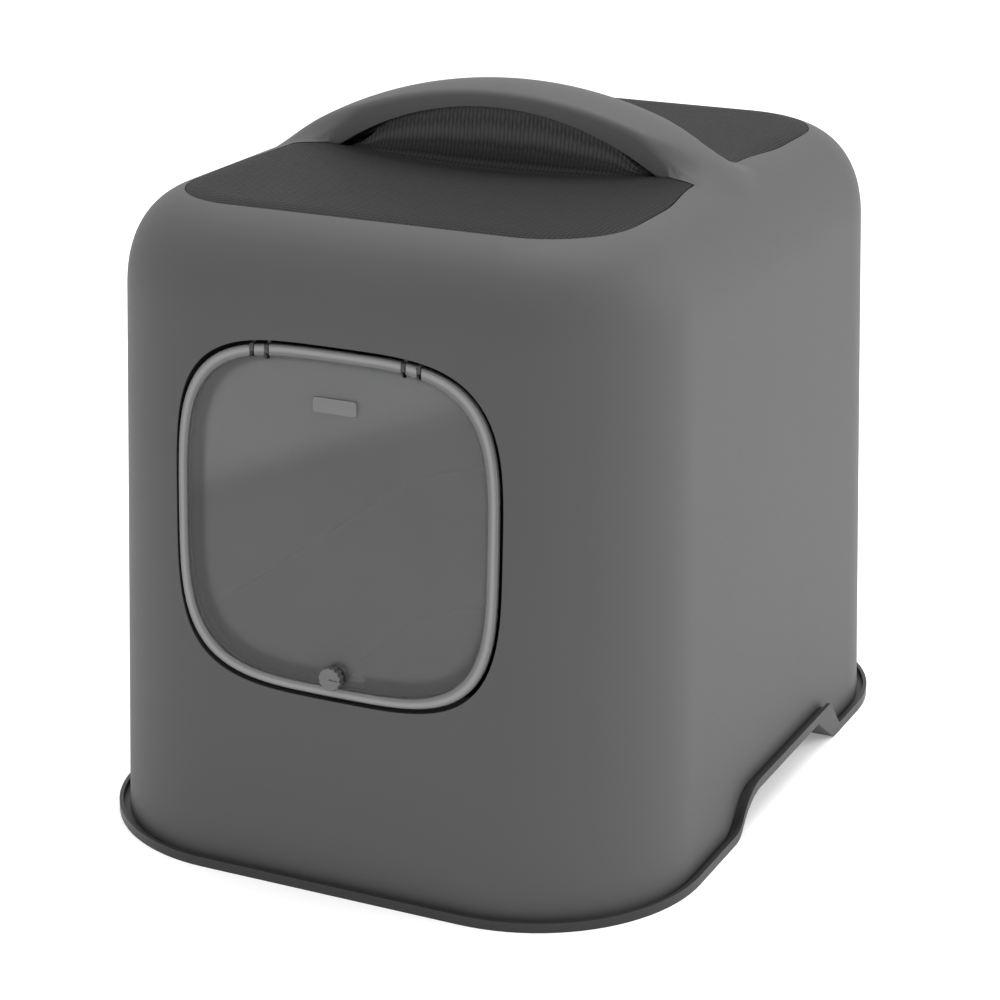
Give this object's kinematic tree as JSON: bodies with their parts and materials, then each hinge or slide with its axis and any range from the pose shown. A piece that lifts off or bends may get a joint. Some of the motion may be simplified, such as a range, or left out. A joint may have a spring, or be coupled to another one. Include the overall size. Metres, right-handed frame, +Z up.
{
  "type": "hooded cat litter box",
  "caption": "Hooded cat litter box: basin tray with grip notches, lift-off hood with arched carry handle, clear swing door with turn lock, dark top deck and filter drawer.",
  "frame": {"origin": "middle of the tray's footprint, on the surface it stands on", "axes": "+X to the right seen from the door, -Y towards the door side, +Z up"},
  "size_m": [0.4, 0.52, 0.4557],
  "materials": {
    "tray_plastic": "moulded satin, dark grey",
    "hood_plastic": "smooth satin, mid grey",
    "deck_weave": "moulded textile weave, charcoal",
    "frame_plastic": "satin, mid grey",
    "pin_steel": "drawn wire",
    "clear_plastic": "clear smoke-tinted, polished",
    "frosted_plastic": "frosted, blank",
    "lock_plastic": "semi-clear grey",
    "carbon_foam": "open-cell foam with active carbon"
  },
  "bodies": {
    "tray": {"tray": "tray_plastic"},
    "hood": {"hood": "hood_plastic", "top_deck": "deck_weave", "door_frame": "frame_plastic", "hinge_pin_left": "pin_steel", "hinge_pin_right": "pin_steel"},
    "door": {"door_flap": "clear_plastic", "name_plaque": "frosted_plastic"},
    "lock": {"lock_knob": "lock_plastic", "lock_tongue": "lock_plastic"},
    "filter": {"filter_drawer": "tray_plastic", "filter_pad": "carbon_foam"}
  },
  "joints": [
    {"name": "hood_lift", "type": "slide", "parent": "tray", "child": "hood", "axis": [0, 0, 1], "range_m": [0, 0.13]},
    {"name": "door_swing", "type": "hinge", "parent": "hood", "child": "door", "pos_m": [0, -0.23618, 0.3349], "axis": [1, 0, 0], "range_deg": [-75, 75]},
    {"name": "lock_turn", "type": "hinge", "parent": "door", "child": "lock", "pos_m": [0, -0.24491, 0.139], "axis": [0, 0.999, -0.0445], "range_deg": [0, 90]},
    {"name": "filter_slide", "type": "slide", "parent": "hood", "child": "filter", "axis": [0, 1, 0], "range_m": [0, 0.12]}
  ]
}
